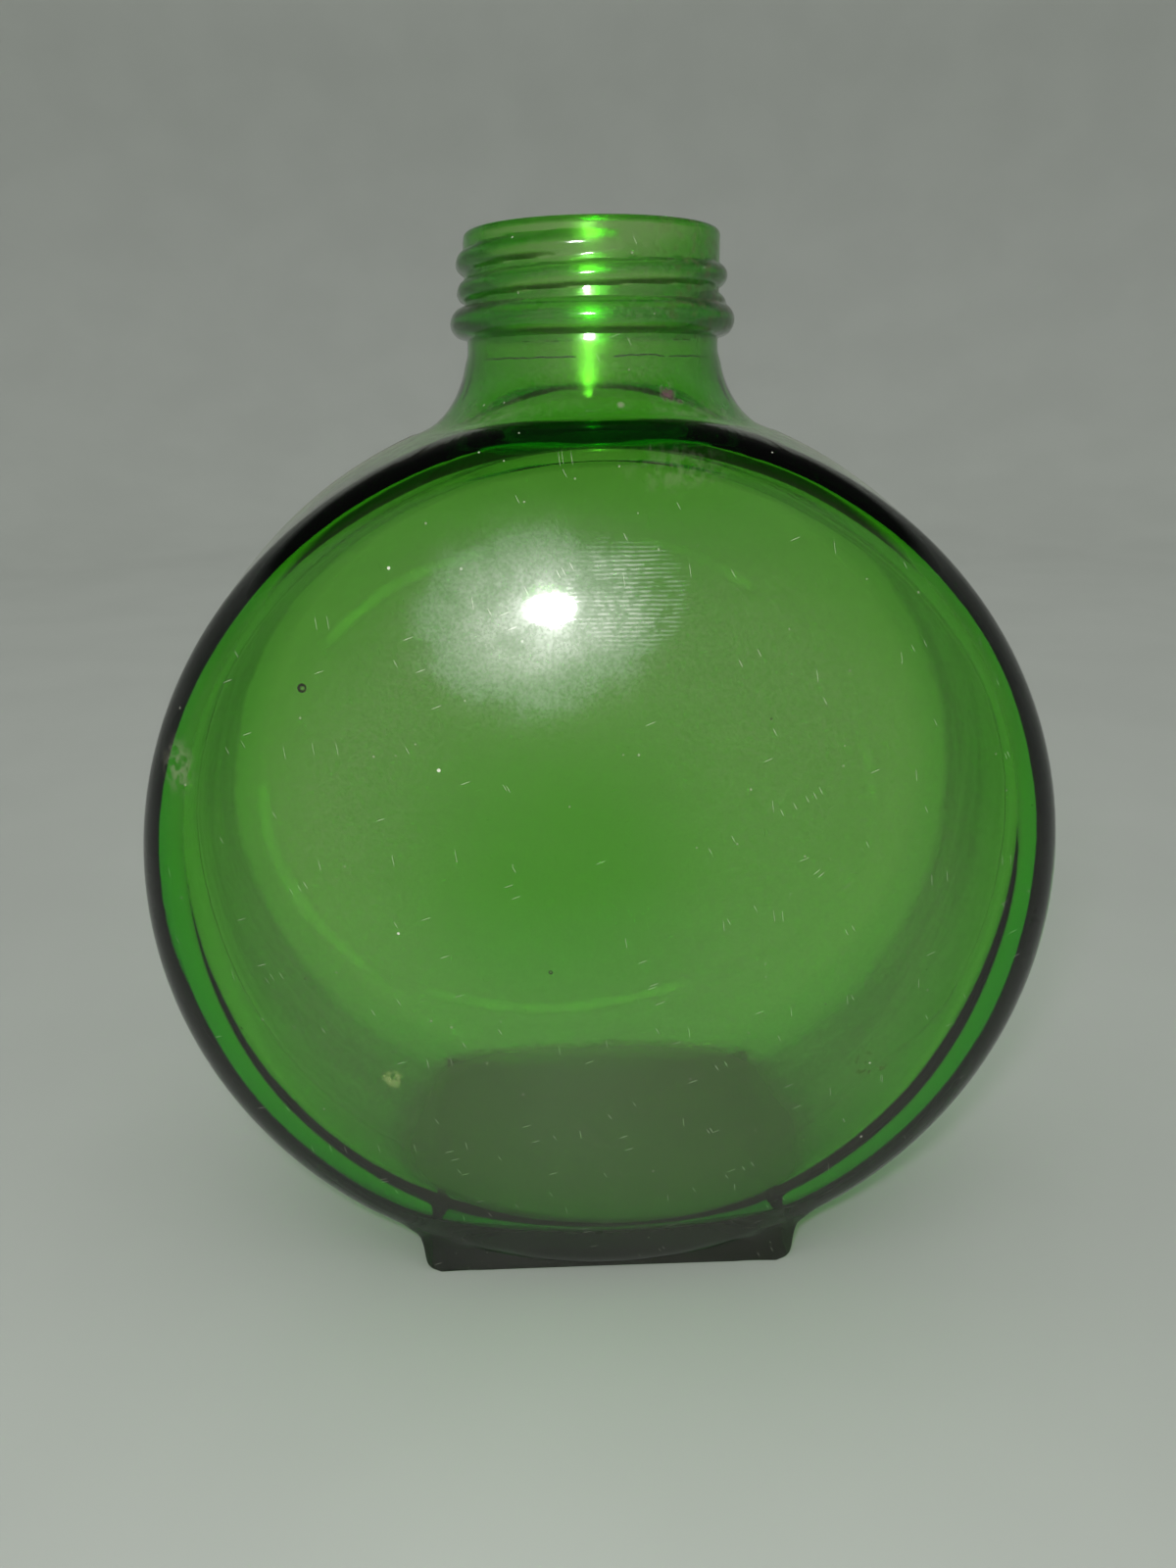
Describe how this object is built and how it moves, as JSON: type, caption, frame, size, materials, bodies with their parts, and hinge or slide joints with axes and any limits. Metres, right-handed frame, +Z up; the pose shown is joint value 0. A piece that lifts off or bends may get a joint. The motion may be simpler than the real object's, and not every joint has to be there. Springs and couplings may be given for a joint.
{
  "type": "glass canteen bottle",
  "caption": "Round flat-sided canteen bottle of green glass with domed faces, a rectangular block foot and a short neck with a screw thread for a cap.",
  "frame": {"origin": "middle of the foot's underside, on the surface that the bottle stands on", "axes": "+Z up along the neck, -Y towards the front face, +X to the right seen from the front"},
  "size_m": [0.135, 0.0714, 0.1514],
  "materials": {
    "green_glass": "glossy transparent blown glass, slightly wavy inside, dusty"
  },
  "bodies": {
    "root": {"neck_finish": "green_glass", "body_front": "green_glass", "body_back": "green_glass", "foot_base": "green_glass"}
  },
  "joints": []
}
